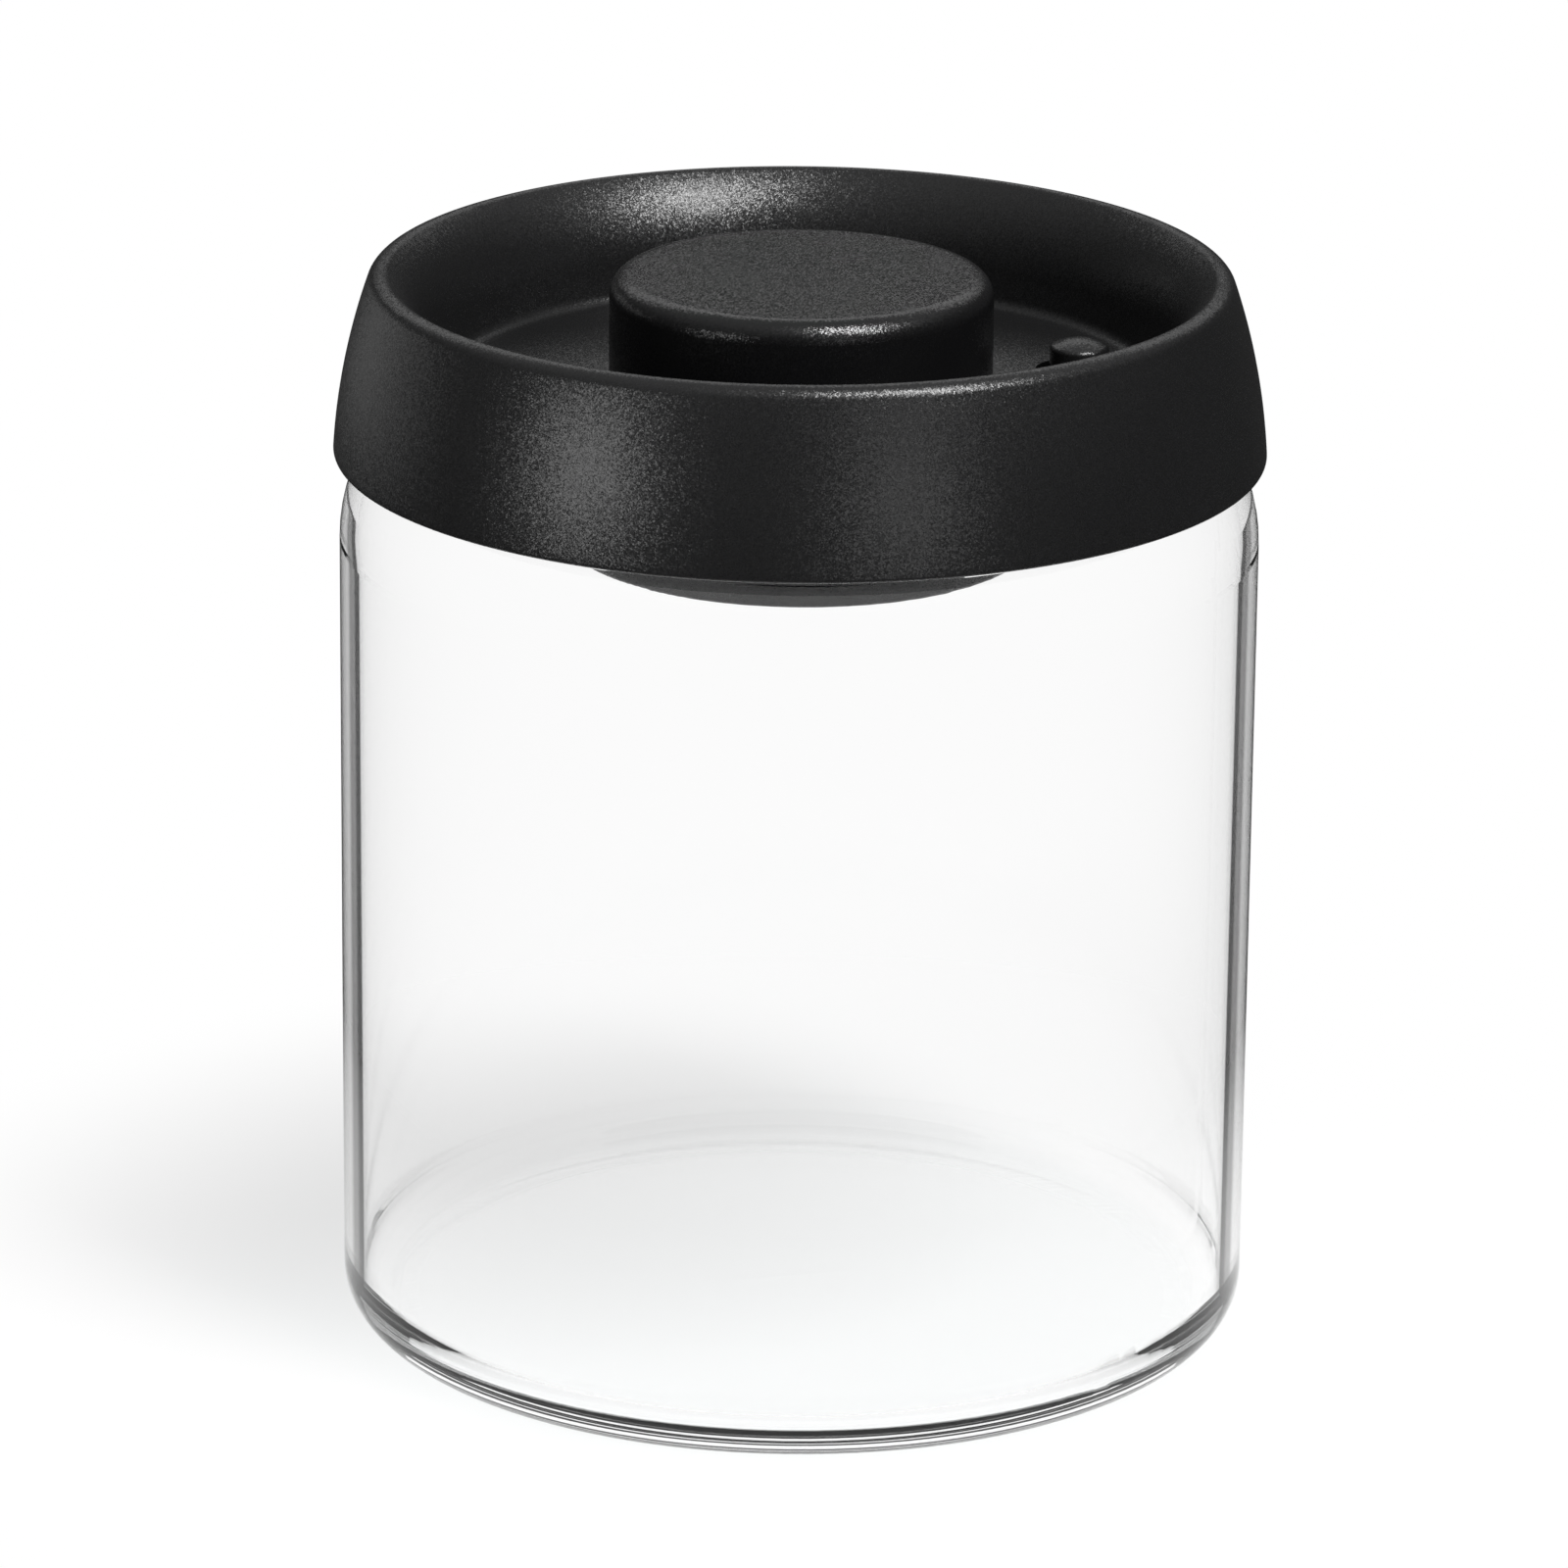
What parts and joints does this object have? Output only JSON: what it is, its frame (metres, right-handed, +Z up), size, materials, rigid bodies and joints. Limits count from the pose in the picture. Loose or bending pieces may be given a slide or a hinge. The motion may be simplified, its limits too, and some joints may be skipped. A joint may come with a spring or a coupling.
{
  "type": "vacuum seal canister",
  "caption": "Round glass food canister with a dished push-on lid that holds a spring-return hand vacuum pump and a small vacuum release button.",
  "frame": {"origin": "centre of the jar's base, in the plane of the ring that it stands on", "axes": "+Z up along the jar's axis, +X from the axis towards the release button"},
  "size_m": [0.112, 0.112, 0.1315],
  "materials": {
    "clear_glass": "clear, polished",
    "black_plastic": "fine spark grain",
    "knob_plastic": "smooth satin",
    "grey_plastic": "smooth, as moulded",
    "milky_silicone": "translucent matt",
    "steel": "bright drawn"
  },
  "bodies": {
    "jar": {"glass_jar": "clear_glass"},
    "lid": {"lid_cover": "black_plastic", "lid_base": "black_plastic", "lid_gasket": "milky_silicone", "pump_cylinder": "black_plastic", "cylinder_gasket": "milky_silicone", "cylinder_screws": "steel", "inlet_valve": "milky_silicone", "valve_guard": "black_plastic", "return_spring": "steel", "release_spring": "steel"},
    "pump": {"pump_knob": "knob_plastic", "piston": "grey_plastic", "piston_seal": "milky_silicone", "piston_screws": "steel"},
    "release": {"release_button": "black_plastic", "release_stem": "grey_plastic", "release_seal": "milky_silicone"}
  },
  "joints": [
    {"name": "lid_lift", "type": "slide", "parent": "jar", "child": "lid", "axis": [0, 0, 1], "range_m": [0, 0.09]},
    {"name": "knob_press", "type": "slide", "parent": "lid", "child": "pump", "axis": [0, 0, 1], "range_m": [-0.0082, 0], "stiffness_N_per_m": 350, "springref_m": 0.012, "deforming": ["return_spring"]},
    {"name": "release_press", "type": "slide", "parent": "lid", "child": "release", "axis": [0, 0, 1], "range_m": [-0.0018, 0], "stiffness_N_per_m": 250, "springref_m": 0.004, "deforming": ["release_spring"]}
  ]
}
